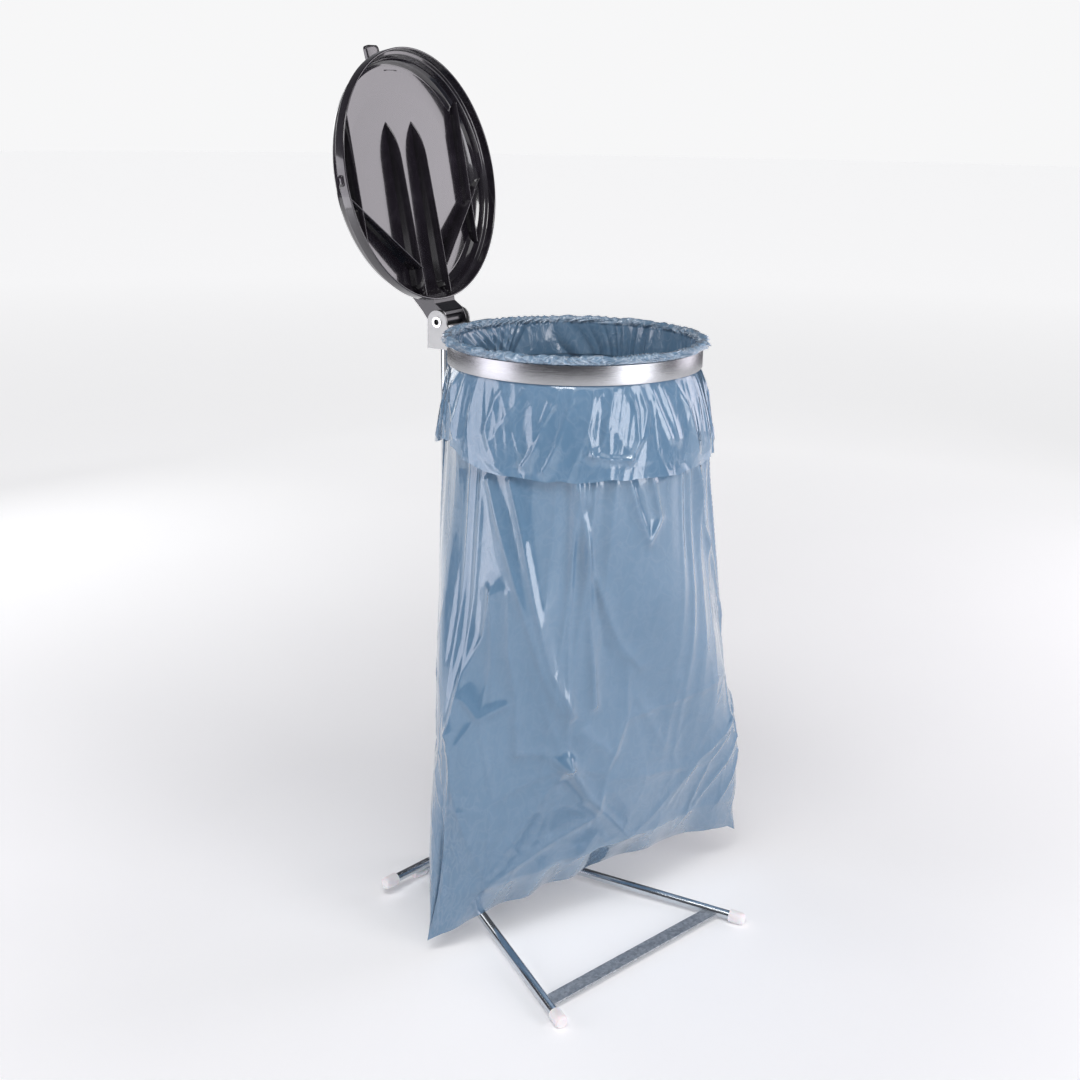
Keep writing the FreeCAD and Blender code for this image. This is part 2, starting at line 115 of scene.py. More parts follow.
def surface(name, points, around=False, closed=False, u=None, v=None, crinkle=None):
    """Faces join each point to the next in its row and in its column. around joins the last
    column to the first, and closed joins the last row to the first. u and v are lengths along
    the rows and columns, in metres, and make the piece's own UV map. crinkle is a value at each
    point, or one for each row, that the film's finish reads."""
    rows, cols = points.shape[:2]
    i, j = np.meshgrid(np.arange(rows - (not closed)), np.arange(cols - (not around)), indexing="ij")
    i2, j2 = (i + 1) % rows, (j + 1) % cols
    quads = np.stack([i * cols + j, i * cols + j2, i2 * cols + j2, i2 * cols + j], -1).reshape(-1, 4)
    mesh = bpy.data.meshes.new(name)
    mesh.from_pydata(points.reshape(-1, 3).tolist(), [], quads.tolist())
    u = np.arange(cols + 1) * MM if u is None else np.asarray(u, float)
    v = np.arange(rows + 1) * MM if v is None else np.asarray(v, float)
    corners = [(i, j), (i, j + 1), (i + 1, j + 1), (i + 1, j)]
    uv = np.stack([np.stack([u[b], v[a]], -1) for a, b in corners], 2).reshape(-1, 2)
    mesh.uv_layers.new(name="length").data.foreach_set("uv", uv.astype(np.float32).ravel())
    # The crinkle attribute sets both the film's crease bumps and how much painted highlight its colour gets.
    if crinkle is not None:
        values = np.broadcast_to(crinkle, points.shape[:2]).astype(np.float32)
        mesh.attributes.new("crinkle", "FLOAT", "POINT").data.foreach_set("value", values.ravel())
    mesh.polygons.foreach_set("use_smooth", np.ones(len(quads), bool))
    piece = bpy.data.objects.new(name, mesh)
    bpy.context.scene.collection.objects.link(piece)
    return piece


def tidy(piece, outwards=False):
    """Points that share a place become one, and a closed skin's faces are turned outwards."""
    work = bmesh.new()
    work.from_mesh(piece.data)
    bmesh.ops.remove_doubles(work, verts=work.verts, dist=SAME_PLACE)
    if outwards:
        bmesh.ops.recalc_face_normals(work, faces=work.faces)
    work.to_mesh(piece.data)
    work.free()


print("a grid becomes a mesh, and points within", SAME_PLACE, "m become one")


# %% Profiles
def span(vectors):
    """The length of each vector, as a column."""
    return np.linalg.norm(vectors, axis=1, keepdims=True)


def lengths(points):
    """The running length along a row of points."""
    return np.concatenate([[0.0], np.cumsum(span(np.diff(points, axis=0)))])


def rounded(corners, radius, steps=5, closed=False):
    """A polyline whose corners become short curves. Each starts and ends radius away from the
    corner, or 0.45 of a short side, and bends towards it: (1-t)^2 a + 2t(1-t) corner + t^2 b."""
    p = np.asarray(corners, float)
    before, after = np.roll(p, 1, 0) - p, np.roll(p, -1, 0) - p
    a = p + before * np.minimum(radius / span(before), 0.45)
    b = p + after * np.minimum(radius / span(after), 0.45)
    t = np.linspace(0, 1, steps)[None, :, None]
    curve = (1 - t) ** 2 * a[:, None] + 2 * t * (1 - t) * p[:, None] + t ** 2 * b[:, None]
    if closed:
        return curve.reshape(-1, p.shape[1])
    return np.concatenate([p[:1], curve[1:-1].reshape(-1, p.shape[1]), p[-1:]])


def angles(count):
    """Evenly spaced angles, once round a circle."""
    return np.arange(count) * 2 * np.pi / count


def spun(profile, count):
    """A profile of (radius, height) pairs turned about the upright axis: x = r cos a,
    y = r sin a, z = height."""
    r, z = profile.T[..., None]
    a = angles(count)
    return np.stack([r * np.cos(a), r * np.sin(a), z + 0 * a], -1)


square = rounded([(0, 0), (1, 0), (1, 1), (0, 1)], 0.2, closed=True)
print("a rounded square has", len(square), "points and is", lengths(square)[-1].round(3), "long")

# %% [markdown]
# ## Arithmetic on shader sockets
# A material is a graph of nodes. Writing it as sums is easier to read, so one small class wraps
# a socket and turns Python's operators into Math nodes. Every other node comes from one method.

# %% Socket arithmetic
class Value:
    """A shader socket that can be added, subtracted, multiplied, divided and raised to a power."""

    def __init__(self, graph, socket):
        self.graph = graph
        self.socket = socket

    def math(self, operation, *others):
        """A Math node on this value and the others, in that order."""
        inputs = dict(enumerate((self,) + others))
        return self.graph.node("ShaderNodeMath", inputs, operation=operation)

    def __add__(self, other):
        return self.math("ADD", other)

    def __sub__(self, other):
        return self.math("SUBTRACT", other)

    def __rsub__(self, other):
        return (self * -1.0) + other

    def __mul__(self, other):
        return self.math("MULTIPLY", other)

    def __truediv__(self, other):
        return self.math("DIVIDE", other)

    def __pow__(self, other):
        return self.math("POWER", other)

    __radd__ = __add__
    __rmul__ = __mul__

    def held(self, top=1.0):
        """The value, kept between 0 and top."""
        return self.math("MINIMUM", top).math("MAXIMUM", 0.0)


class Graph:
    """A tree of shader nodes under construction, with one method for any node."""

    def __init__(self, tree):
        self.tree = tree
        self.tree.nodes.clear()

    def node(self, kind, inputs=None, out=0, stops=None, **settings):
        """Adds a node of this kind. Settings come first, then a ramp's stops, then its sockets."""
        node = self.tree.nodes.new(kind)
        for key, value in settings.items():
            setattr(node, key, value)
        if stops:
            ramp = node.color_ramp
            for _ in stops[2:]:
                ramp.elements.new(0.5)
            for element, (place, colour) in zip(ramp.elements, stops):
                element.position = place
                element.color = (*colour, 1.0)
        for key, value in (inputs or {}).items():
            if isinstance(value, Value):
                self.tree.links.new(value.socket, node.inputs[key])
            elif isinstance(value, (tuple, list)) and node.inputs[key].type == "RGBA":
                node.inputs[key].default_value = (*value, 1.0)
            else:
                node.inputs[key].default_value = value
        return Value(self, node.outputs[out]) if node.outputs else None

    def ramp(self, value, stops):
        return self.node("ShaderNodeValToRGB", {0: value}, stops=stops)


# %% Nodes that the finishes share
class Finish(Graph):
    """A material under construction."""

    def __init__(self, name):
        self.material = bpy.data.materials.new(name)
        self.material.use_nodes = True
        super().__init__(self.material.node_tree)

    def place(self, source="Object", scale=(1, 1, 1)):
        """Object or UV coordinates, stretched by a scale."""
        where = self.node("ShaderNodeTexCoord", out=source)
        return self.node("ShaderNodeMapping", {"Vector": where, "Scale": scale})

    def noise(self, where, scale, detail=4.0, roughness=0.55, distortion=0.0):
        return self.node("ShaderNodeTexNoise", {"Vector": where, "Scale": scale, "Detail": detail,
                         "Roughness": roughness, "Distortion": distortion})

    def cells(self, where, scale, feature="F1", out="Distance"):
        return self.node("ShaderNodeTexVoronoi", {"Vector": where, "Scale": scale}, out=out,
                         feature=feature)

    def mix(self, factor, a, b):
        return self.node("ShaderNodeMix", {0: factor, 6: a, 7: b}, out=2, data_type="RGBA")

    def bump(self, height, strength, distance, under=None):
        """Bumps of this height, on top of the bumps under them."""
        inputs = {"Height": height, "Strength": strength, "Distance": distance}
        if under is not None:
            inputs["Normal"] = under
        return self.node("ShaderNodeBump", inputs)

    def done(self, **sockets):
        """Ends in one Principled shader. Underscores in the names stand for spaces."""
        inputs = {key.replace("_", " "): value for key, value in sockets.items()}
        shader = self.node("ShaderNodeBsdfPrincipled", inputs)
        self.node("ShaderNodeOutputMaterial", {"Surface": shader})
        print("finish:", self.material.name, "with", len(self.tree.nodes), "nodes")
        return self.material


# %% [markdown]
# ## Metals
# Zinc plating on a drawn tube is bright and slightly blue, with faint lines along the draw and
# cloudy patches. The hoop is brushed round and round, so its scratches follow the strip. Their
# noise is squeezed in one direction, which costs nothing and never repeats.

# %% Plated tube, plate and hardware
STRAW = (0.78, 0.74, 0.62)


def plated(name, colour, rough, cloud, grain, bump):
    """Zinc plate: soft clouds change its brightness, and fine grain its roughness."""
    f = Finish(name)
    where = f.place()
    clouds = f.noise(where, cloud, 3.0)
    specks = f.noise(where, grain, 5.0, 0.7)
    wear = f.cells(where, cloud * 3.0, "SMOOTH_F1")
    dull = tuple(c * 0.72 for c in colour)
    bright = tuple(min(1.0, c * 1.12) for c in colour)
    base = f.mix(clouds, f.mix(wear, dull, colour), bright)
    base = f.mix((specks * 0.3).held(0.3), base, STRAW)
    return f.done(Base_Color=base, Metallic=1.0, Roughness=specks * 0.12 + clouds * 0.1 + rough,
                  Normal=f.bump(specks, bump, 0.0002))


tube_zinc = plated("bright zinc on drawn tube", (0.56, 0.61, 0.68), 0.06, 18.0, 900.0, 0.08)
plate_zinc = plated("zinc plate on folded steel", (0.36, 0.375, 0.39), 0.40, 25.0, 1500.0, 0.25)
screw_zinc = plated("bright zinc hardware", (0.66, 0.68, 0.70), 0.14, 90.0, 2500.0, 0.15)


# %% Brushed hoop
def brushed():
    """Scratches are noise squeezed 300 times across the strip, on the hoop's own UV map."""
    f = Finish("steel brushed round the hoop")
    lines = f.noise(f.place("UV", (14.0, 4200.0, 1.0)), 1.0, 6.0, 0.75)
    broad = f.noise(f.place("UV", (5.0, 420.0, 1.0)), 1.0, 3.0)
    clouds = f.noise(f.place(), 12.0, 3.0)
    scratched, polished, stained = (0.30, 0.31, 0.33), (0.56, 0.57, 0.60), (0.42, 0.41, 0.41)
    base = f.mix(lines, scratched, polished)
    base = f.mix((broad * 0.5).held(0.5), base, stained)
    rough = lines * 0.16 + clouds * 0.06 + 0.16
    return f.done(Base_Color=base, Metallic=1.0, Roughness=rough, Anisotropic=0.6,
                  Normal=f.bump(lines, 0.25, 0.0003))


band_steel = brushed()


# %% Galvanised strip
def galvanised():
    """Spangle: each cell of zinc crystals has its own shade, with fine pits between."""
    f = Finish("galvanised strip with spangle")
    where = f.place()
    spangle = f.cells(where, 230.0, out="Color")
    shade = f.node("ShaderNodeSeparateColor", {0: spangle}, out=0)
    pits = f.cells(where, 1400.0)
    grime = f.noise(where, 30.0, 5.0)
    base = f.mix(shade, (0.25, 0.27, 0.30), (0.62, 0.65, 0.69))
    base = f.mix((pits * 0.6).held(0.6), base, (0.34, 0.36, 0.39))
    base = f.mix((grime * 0.35).held(0.35), base, (0.52, 0.53, 0.54))
    return f.done(Base_Color=base, Metallic=0.75, Roughness=shade * 0.2 + 0.38,
                  Normal=f.bump(pits * 0.5 + shade * 0.4, 0.5, 0.0006))


strip_zinc = galvanised()

# %% [markdown]
# ## Plastics
# The caps are soft white plastic that lets a little light in. The lid is a glossy black
# moulding: nearly a mirror, but with the faint ripple, dust and rubbed patches of real plastic.

# %% White caps and black mouldings
def white_cap():
    """Subsurface light softens the white, and a faint noise keeps the skin from looking perfect."""
    f = Finish("soft white cap plastic")
    marks = f.noise(f.place(), 160.0, 6.0, 0.65)
    scuffs = f.noise(f.place(scale=(1.0, 1.0, 5.0)), 45.0, 4.0)
    clean, dusty, scuffed = (0.90, 0.86, 0.86), (0.80, 0.76, 0.77), (0.66, 0.63, 0.62)
    base = f.mix((marks * 0.5).held(0.5), clean, dusty)
    base = f.mix(((scuffs - 0.56) * 2.2).held(), base, scuffed)
    return f.done(Base_Color=base, Roughness=marks * 0.2 + 0.3, Subsurface_Weight=0.25,
                  Subsurface_Scale=0.004, Normal=f.bump(marks, 0.2, 0.0004))


def black_moulding(name, colour, rough, ripple, coat):
    """Gloss black: slow ripples bend its reflections, dust and rubbing change its roughness."""
    f = Finish(name)
    where = f.place()
    slow = f.noise(where, 9.0, 2.0)
    fine = f.noise(where, 520.0, 4.0, 0.7)
    rubbed = f.noise(where, 26.0, 6.0, 0.7)
    lighter = tuple(c * 2.6 + 0.004 for c in colour)
    base = f.mix(((rubbed - 0.48) * 2.0).held(), colour, lighter)
    bumps = f.bump(slow, ripple, 0.004)
    return f.done(Base_Color=base, Roughness=rubbed * 0.12 + fine * 0.05 + rough, IOR=1.53,
                  Coat_Weight=coat, Coat_Roughness=0.05, Normal=f.bump(fine, 0.05, 0.0002, bumps))


cap_white = white_cap()
lid_black = black_moulding("gloss black lid moulding", (0.013, 0.011, 0.015), 0.08, 0.10, 1.0)
arm_black = black_moulding("black arm moulding", (0.009, 0.009, 0.012), 0.20, 0.05, 0.35)

# %% [markdown]
# ## Dressing the engineering pieces
# Tubes, caps and hardware already have their real shape, so they keep it and only get a finish.
# New pieces also ride on a body, and hide the engineering nodes that they stand for.

# %% Put the finishes on
FINISHES = {
    tube_zinc: ["left_leg_tube", "right_leg_tube", "rear_foot_tube", "post"],
    plate_zinc: ["hinge_bracket", "post_socket", "sack_ring"],
    screw_zinc: ["clamp_screw", "band_rivets", "pivot_tube", "pivot_washers", "arm_screws"],
    strip_zinc: ["front_strip"],
    arm_black: ["post_plug", "lid_hinge_arm"],
    cap_white: [n for n in frame["nodes"] if n.endswith("_cap")],
}
for material, names in FINISHES.items():
    for name in names:
        mesh = frame["nodes"][name].data
        mesh.materials.clear()
        mesh.materials.append(material)
print("engineering pieces with a new finish:", sum(len(names) for names in FINISHES.values()))


def dress(piece, material, body, slot, *nodes):
    """Gives a new piece its material and the body it rides on, and hides the engineering nodes that it
    stands for.
    """
    piece.data.materials.append(material)
    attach(piece, body)
    if nodes:
        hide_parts(*nodes)
    print(piece.name, "on", body, "with", len(piece.data.polygons), "faces")
    return piece


# %% [markdown]
# ## The hoop
# The hoop is a flat strip rolled into a ring. A rectangle with slightly rounded corners is
# turned about the ring's axis, with enough steps that no facet shows in its reflections.

# %% Hoop
HOOP_IN, HOOP_OUT, HOOP_LOW, HOOP_TOP = 204, 206, 970, 1000
ROUND_STEPS = 288
strip = [(HOOP_OUT, HOOP_LOW), (HOOP_OUT, HOOP_TOP), (HOOP_IN, HOOP_TOP), (HOOP_IN, HOOP_LOW)]
strip = rounded(strip, 0.5, 4, closed=True)
strip_v = lengths(strip) * MM
hoop_u = np.arange(ROUND_STEPS + 1) * 2 * np.pi / ROUND_STEPS * strip[:, 0].max() * MM
hoop = surface("brushed_hoop", spun(strip, ROUND_STEPS) * MM + RING, around=True, closed=True, u=hoop_u,
               v=np.append(strip_v, strip_v[-1] + MM))
tidy(hoop, outwards=True)
dress(hoop, band_steel, "stand", "brushed_band", "holder_band")

# %% [markdown]
# ## The lid
# The lid is one moulding: a skirt, a step, a flat top, and a fan of upright ribs underneath.
# It is drawn closed, where its shape is simple, and then turned about the hinge like the real
# one. Ribs are separate thin grids, because a moulded rib meets the floor in a crisp line.

# %% Lid shell
LID_REACH, LID_LIFT = 241.8, 1.6
LID_CENTRE = np.array([RING[0], PIVOT[1] - LID_REACH * MM, PIVOT[2] + LID_LIFT * MM])
OUTER = [(0, 40.5), (146, 40), (184, 39), (193, 35.5), (196.5, 30), (199.5, 19.5), (206, 17), (206, 0)]
INNER = [(203, 0), (203, 14.6), (196.5, 17), (193.5, 27.6), (190, 32.6), (182, 36.6), (146, 37.5), (0, 37.5)]


def opened(points):
    """Turns points in mm, drawn on the closed lid, about the hinge line:
    y' = y cos a - z sin a, z' = y sin a + z cos a."""
    p = points * MM + LID_CENTRE - PIVOT
    c, s = math.cos(-OPEN), math.sin(-OPEN)
    return np.stack([p[..., 0], p[..., 1] * c - p[..., 2] * s, p[..., 1] * s + p[..., 2] * c], -1) + PIVOT


def moulded(name, points, *nodes):
    """A closed skin on the lid, drawn closed and in mm."""
    piece = surface(name, opened(points), around=True)
    tidy(piece, outwards=True)
    return dress(piece, lid_black, "lid", "lid_plastic", *nodes)


moulded("lid_moulding", spun(rounded(OUTER + INNER, 1.6), ROUND_STEPS), "lid_shell")


# %% Ribs
RIB_TIP, RIB_FOOT = 1.3, 1.9
RIB_ROWS, RIB_ARC = 72, 7
WALL_MIDDLE = [(0, 39), (146, 38.7), (183, 37.8), (191.5, 34), (195, 28.8), (198, 18.2)]
LONG_EDGE = [(0, 8.5), (0.82, 16), (0.9, 21), (0.96, 28.5), (1, 37)]


def closed_ends(rows):
    """Rows of points with each end drawn together in one point."""
    ends = [rows[k].mean(0)[None, None].repeat(rows.shape[1], 1) for k in (0, -1)]
    return np.concatenate([ends[0], rows, ends[1]])


def rib(name, start, end, edge):
    """An upright blade from start to end. Its height comes from edge, pairs of (share of the way,
    distance from the rim's plane), and its section is a slim wedge with a round free edge. The
    foot follows the middle of the lid's wall, and the end rows shrink to a point."""
    start, end = np.array(start, float), np.array(end, float)
    t = np.linspace(0, 1, RIB_ROWS)
    free = np.interp(t, *zip(*edge))
    for _ in range(3):
        free[1:-1] = (free[:-2] + free[1:-1] + free[2:]) / 3
    line = start + (end - start) * t[:, None]
    foot = np.interp(np.hypot(*line.T), *zip(*WALL_MIDDLE))
    along = (end - start) / np.linalg.norm(end - start)
    across = np.array([-along[1], along[0]])
    turn = np.linspace(np.pi, 0, RIB_ARC)
    wide = np.concatenate([[-RIB_FOOT], RIB_TIP * np.cos(turn), [RIB_FOOT]])
    top = np.minimum(free + RIB_TIP, foot)[:, None] - RIB_TIP * np.sin(turn)
    depth = np.concatenate([foot[:, None], top, foot[:, None]], 1)
    flat = line[:, None] + across * wide[None, :, None]
    moulded(name, closed_ends(np.concatenate([flat, depth[..., None]], -1)))


# %% Rim lugs
LUG_OUTLINE = [(-9, 6), (9, 6), (9, 15), (-9, 15)]
LUG_START, LUG_THICK, LUG_EDGE = 204.5, 4.0, 0.8


def rim_lug(name, side):
    """A small block on the skirt. Its outline is repeated through the thickness, drawn in at
    both faces, and closed at a middle point."""
    line = rounded(LUG_OUTLINE, 4.0, 6, closed=True)
    middle = line.mean(0)
    faces = (0, LUG_THICK)
    steps = [(0, 0), (1, 0), (1, LUG_EDGE), (1, LUG_THICK - LUG_EDGE), (1, LUG_THICK), (0, LUG_THICK)]
    rings = []
    for share, through in steps:
        inset = 1 - LUG_EDGE / span(line - middle) * (through in faces)
        flat = middle + (line - middle) * share * inset
        out = np.full((len(line), 1), side * (LUG_START + through))
        rings.append(np.concatenate([out, flat], 1))
    moulded(name, np.stack(rings))


# %% Both sides of the lid
for side, hand in ((-1, "left"), (1, "right")):
    rib("long_rib_" + hand, (side * 35, 199), (side * 35, -92), LONG_EDGE)
    rib("brace_rib_" + hand, (side * 35, 150), (side * 194, 11), [(0, 8), (1, 24)])
    rib("chord_rib_" + hand, (side * 153, 121), (side * 153, -121), [(0, 20), (1, 20)])
    rim_lug("rim_lug_" + hand, side)


# %% Grip lip
LIP_PATH = [(172, 38), (190, 67), (221, 69.5)]
LIP_HALF, LIP_THICK, LIP_CORNER = 17.5, 8.0, 6.5
LIP_BEND, LIP_EDGE = 12.0, 2.2


def grip_lip():
    """A bent strip carried along a path of (radius, height). Its section is a rounded rectangle
    across the path, p + h n, and over the last stretch it narrows by a quarter circle."""
    line = rounded(LIP_PATH, LIP_BEND, 9)
    last, way = line[-1], (line[-1] - line[-2]) / np.linalg.norm(line[-1] - line[-2])
    left = LIP_CORNER * np.array([1.0, 0.75, 0.5, 0.3, 0.15, 0.05, 0.0])
    line = np.concatenate([line[:-1], last - way * left[:, None]])
    along = np.gradient(line, axis=0)
    along /= span(along)
    normal = np.stack([-along[:, 1], along[:, 0]], 1)
    to_tip = np.full(len(line), LIP_CORNER)
    to_tip[-len(left):] = left
    narrow = 1 - (LIP_CORNER - np.sqrt(LIP_CORNER ** 2 - (LIP_CORNER - to_tip) ** 2)) / LIP_HALF
    wide, thick = LIP_HALF, LIP_THICK / 2
    section = [(-wide, -thick), (wide, -thick), (wide, thick), (-wide, thick)]
    x, h = rounded(section, LIP_EDGE, closed=True).T
    r = line[:, :1] + normal[:, :1] * h
    z = line[:, 1:] + normal[:, 1:] * h
    moulded("grip_lip", closed_ends(np.stack([x * narrow[:, None], -r, z], -1)))


grip_lip()

# %% [markdown]
# ## The sack
# A refuse sack is a flat tube of film, 1.4 m round, welded straight across the bottom. Here it
# comes up inside the ring, rolls over its bead, and hangs down outside as a loose cuff.
# Cloth simulation could find the folds, but film this thin keeps its packing creases, so the
# folds are placed by formula: gathered pleats at the ring, long ridges where it is pulled, and
# a net of small creases near the weld.

# %% Waves and pleats
SACK_ROUND, BODY_LENGTH = 1.4, 0.93
SEAM_TURN = math.radians(-25.0)


def graded(value, *pairs):
    """A number that runs in straight stretches through (value, number) pairs."""
    return np.interp(value, *zip(*pairs))


def waves(angle, lowest, highest, seed):
    """A smooth random curve that closes after one turn: a sum of cosines between two counts."""
    pick = np.random.default_rng(seed)
    counts = np.arange(lowest, highest + 1)
    size, phase = pick.normal(size=counts.size), pick.uniform(0, 2 * np.pi, counts.size)
    total = (size * np.cos(angle[..., None] * counts + phase)).sum(-1)
    return total / np.sqrt((size ** 2).sum() / 2)


def pleats(angle, count, wander, seed, sharp):
    """Sharp crests and round hollows, -1 to 1: 1 - 2 |sin(n a / 2 + wander)| ^ sharp."""
    phase = count * angle / 2 + wander * waves(angle, 1, 7, seed)
    return 1 - 2 * np.abs(np.sin(phase)) ** sharp


def knot(angle):
    """1 where the spare film is gathered in a lump, beside the hinge, and 0 elsewhere: a bell
    curve about 112 degrees, 17 degrees wide."""
    return np.exp(-((np.degrees(angle) - 112) / 17) ** 2)


print("a pleat runs from -1 to 1, and the knot is", knot(np.radians(130)).round(2), "high 18 degrees away")

# %% Film inside the mouth
MOUTH_TOP = 1003


def mouth(angle, height):
    """How far the film inside the mouth stands out from its round: slanting folds that deepen
    downwards, and bulges inwards round the knot."""
    below = MOUTH_TOP - height
    deepness = graded(height, (880, 3.0), (940, 6.0), (972, 4.6), (MOUTH_TOP, 1.0))
    slant = angle + below * MM * 1.6 * waves(angle, 2, 6, seed=41)
    wide = 0.6 * pleats(slant, 17, 3.2, seed=42, sharp=0.8)
    narrow = 0.25 * pleats(slant, 47, 4.0, seed=43, sharp=0.9)
    bulge = np.sin(np.pi * np.clip(below / 58, 0, 1))
    lump = 9.0 + 4.0 * pleats(angle + below * 0.004, 46, 2.0, seed=44, sharp=1.1)
    return deepness * (wide + narrow - 0.62) - knot(angle) * bulge * lump


# %% Ridges and creases
DEGREE = 3.85
ROUND = 360 * DEGREE
CREASE_WIDTH = 9.0


def ridge(angle, height, line, rise, width, fade):
    """A crest along a line of (degrees, mm) points: rise * exp(-distance / width), with a rounded
    top, its rise going from fade[0] at the first point to fade[1] at the last."""
    points = np.array(line, float) * [DEGREE, 1.0]
    x, y = np.degrees(angle) * DEGREE, height
    runs = lengths(points)
    best, share = np.full(x.shape, 1e9), np.zeros(x.shape)
    for k, (p, q) in enumerate(zip(points, points[1:])):
        d = q - p
        t = np.clip(((x - p[0]) * d[0] + (y - p[1]) * d[1]) / (d @ d), 0, 1)
        gap = np.hypot(x - p[0] - t * d[0], y - p[1] - t * d[1])
        share = np.where(gap < best, (runs[k] + t * np.hypot(*d)) / runs[-1], share)
        best = np.minimum(gap, best)
    strength = fade[0] + (fade[1] - fade[0]) * share
    return rise * strength * np.exp(-(np.sqrt(best ** 2 + 1.0) - 1.0) / width)


def creases(angle, height, count, seed):
    """A net of creases: near 1 where the two nearest of some scattered points are equally far.
    Distances up the sack count 0.6, so the net is longer than it is wide."""
    pick = np.random.default_rng(seed)
    x, y = np.degrees(angle) * DEGREE, height
    first, second = np.full(x.shape, 1e9), np.full(x.shape, 1e9)
    for px, py in pick.uniform([0, 30], [ROUND, 950], (count, 2)):
        across = np.abs(x - px)
        d = np.hypot(np.minimum(across, ROUND - across), (y - py) * 0.6)
        second = np.minimum(second, np.maximum(first, d))
        first = np.minimum(first, d)
    return np.exp(-(second - first) / CREASE_WIDTH)


print("one degree of the sack is", DEGREE, "mm of film, and the whole round", round(ROUND), "mm")

# %% [markdown]
# ## Body of the sack
# The body is round at the hoop and flat at the weld, so its section goes from a circle to a
# thin ellipse. A loft between drawn sections would do the same. Here each height has its own
# ellipse, and the folds are pushed out from it.

# %% Long folds
# Each is a line of (degrees round the sack, height in mm), then its rise, width and fade.
RIDGES = [
    ([(197, 816), (208, 720), (220, 613), (233, 496), (241, 439)], 6.0, 9.0, (1.0, 0.6)),
    ([(208, 819), (217, 725), (224, 629), (235, 510), (246, 430)], 6.5, 8.0, (0.9, 0.8)),
    ([(234, 900), (240, 567), (247, 330)], 2.6, 3.0, (1.0, 0.6)),
    ([(236, 830), (246, 684), (254, 608), (262, 542), (272, 494)], 6.5, 9.0, (1.0, 0.4)),
    ([(240, 850), (244, 700), (248, 590), (252, 500), (254, 440)], 6.0, 7.0, (0.5, 1.0)),
    ([(242, 780), (249, 640), (256, 540)], -4.5, 9.0, (1.0, 0.6)),
    ([(256, 850), (262, 777), (268, 722), (273, 757), (267, 850)], 5.0, 7.0, (1.0, 0.9)),
    ([(298, 840), (306, 716), (321, 620), (336, 494)], 6.0, 8.0, (1.0, 0.4)),
    ([(312, 850), (322, 700), (331, 560), (337, 430)], 6.0, 7.0, (1.0, 0.4)),
    ([(251, 393), (264, 339), (267, 400), (268, 483)], 5.0, 12.0, (0.6, 0.3)),
    ([(272, 437), (288, 316), (290, 450)], 5.0, 14.0, (0.5, 0.4)),
    ([(246, 348), (256, 263), (268, 200)], 4.5, 8.0, (1.0, 0.1)),
    ([(246, 336), (232, 227), (218, 130)], 5.0, 16.0, (1.0, 0.3)),
    ([(226, 368), (237, 364), (246, 336)], 4.0, 8.0, (0.3, 1.0)),
    ([(204, 640), (202, 563), (194, 501), (190, 400)], 6.0, 12.0, (0.6, 0.9)),
    ([(190, 400), (196, 300), (208, 210), (222, 120)], 5.0, 11.0, (1.0, 0.2)),
    ([(212, 640), (216, 540), (222, 470), (226, 368)], 5.0, 9.0, (0.4, 1.0)),
    ([(196, 460), (206, 430), (218, 452)], 4.5, 8.0, (1.0, 0.6)),
    ([(204, 640), (208, 520), (212, 440)], 4.0, 7.0, (1.0, 0.2)),
    ([(340, 357), (306, 263), (290, 170)], 5.0, 10.0, (1.0, 0.2)),
    ([(346, 330), (322, 220), (306, 140)], 4.5, 7.0, (1.0, 0.3)),
    ([(350, 290), (334, 190), (322, 130)], 4.0, 6.0, (1.0, 0.3)),
    ([(246, 336), (262, 230), (280, 120)], 4.0, 7.0, (1.0, 0.3)),
    ([(186, 300), (187, 230), (182, 60)], -7.0, 9.0, (0.2, 1.0)),
    ([(60, 840), (75, 640), (84, 430)], 7.0, 12.0, (1.0, 0.3)),
    ([(110, 850), (104, 650), (96, 450)], 7.0, 12.0, (1.0, 0.3)),
    ([(140, 840), (150, 600), (170, 380)], 6.0, 12.0, (1.0, 0.4)),
    ([(20, 840), (12, 600), (2, 420)], 6.0, 12.0, (1.0, 0.4)),
    ([(84, 400), (70, 250), (52, 130)], 5.0, 14.0, (1.0, 0.3)),
    ([(96, 380), (118, 240), (130, 120)], 5.0, 14.0, (1.0, 0.3)),
]
print("long folds in the body:", len(RIDGES))

# %% Round sections and hem
# Each section is (height, half the length, half the depth, centre across, centre forwards), in mm.
SECTIONS = np.array([
    (958, 197.6, 197.6, 0, 0), (905, 205, 205, 0, 0), (820, 213, 209, 1, -6), (620, 245, 181, 3, -20),
    (420, 281, 141, 4, -32), (250, 306, 105, 5, -42), (120, 321, 61, 6, -50), (60, 332, 12, 8, -56),
    (46, 334, 0.5, 8, -56)], float)
# The weld's height, from its left end, at -1, to its right end, at 1.
HEM = [(-1, 24), (-0.93, 34), (-0.8, 44), (-0.45, 54), (-0.1, 68), (0.3, 76), (0.8, 72), (0.93, 62), (1, 46)]
ROWS, COLS = 191, 520
BODY_TOP, WELD = SECTIONS[0, 0], SECTIONS[-1, 0]

angle, drop = np.meshgrid(angles(COLS), np.linspace(0, 1, ROWS), indexing="xy")
level = BODY_TOP + drop * (WELD - BODY_TOP)
rising = SECTIONS[::-1].T
half, deep, centre_x, centre_y = [np.interp(level, rising[0], column) for column in rising[1:]]
across = np.cos(angle)
height = level + (graded(across, *HEM) - WELD) * drop ** 3
print("the body is", round(half[-1, 0]) * 2, "mm long at the weld")

# %% Depth of the folds
RIDGE_PULL = 1.7

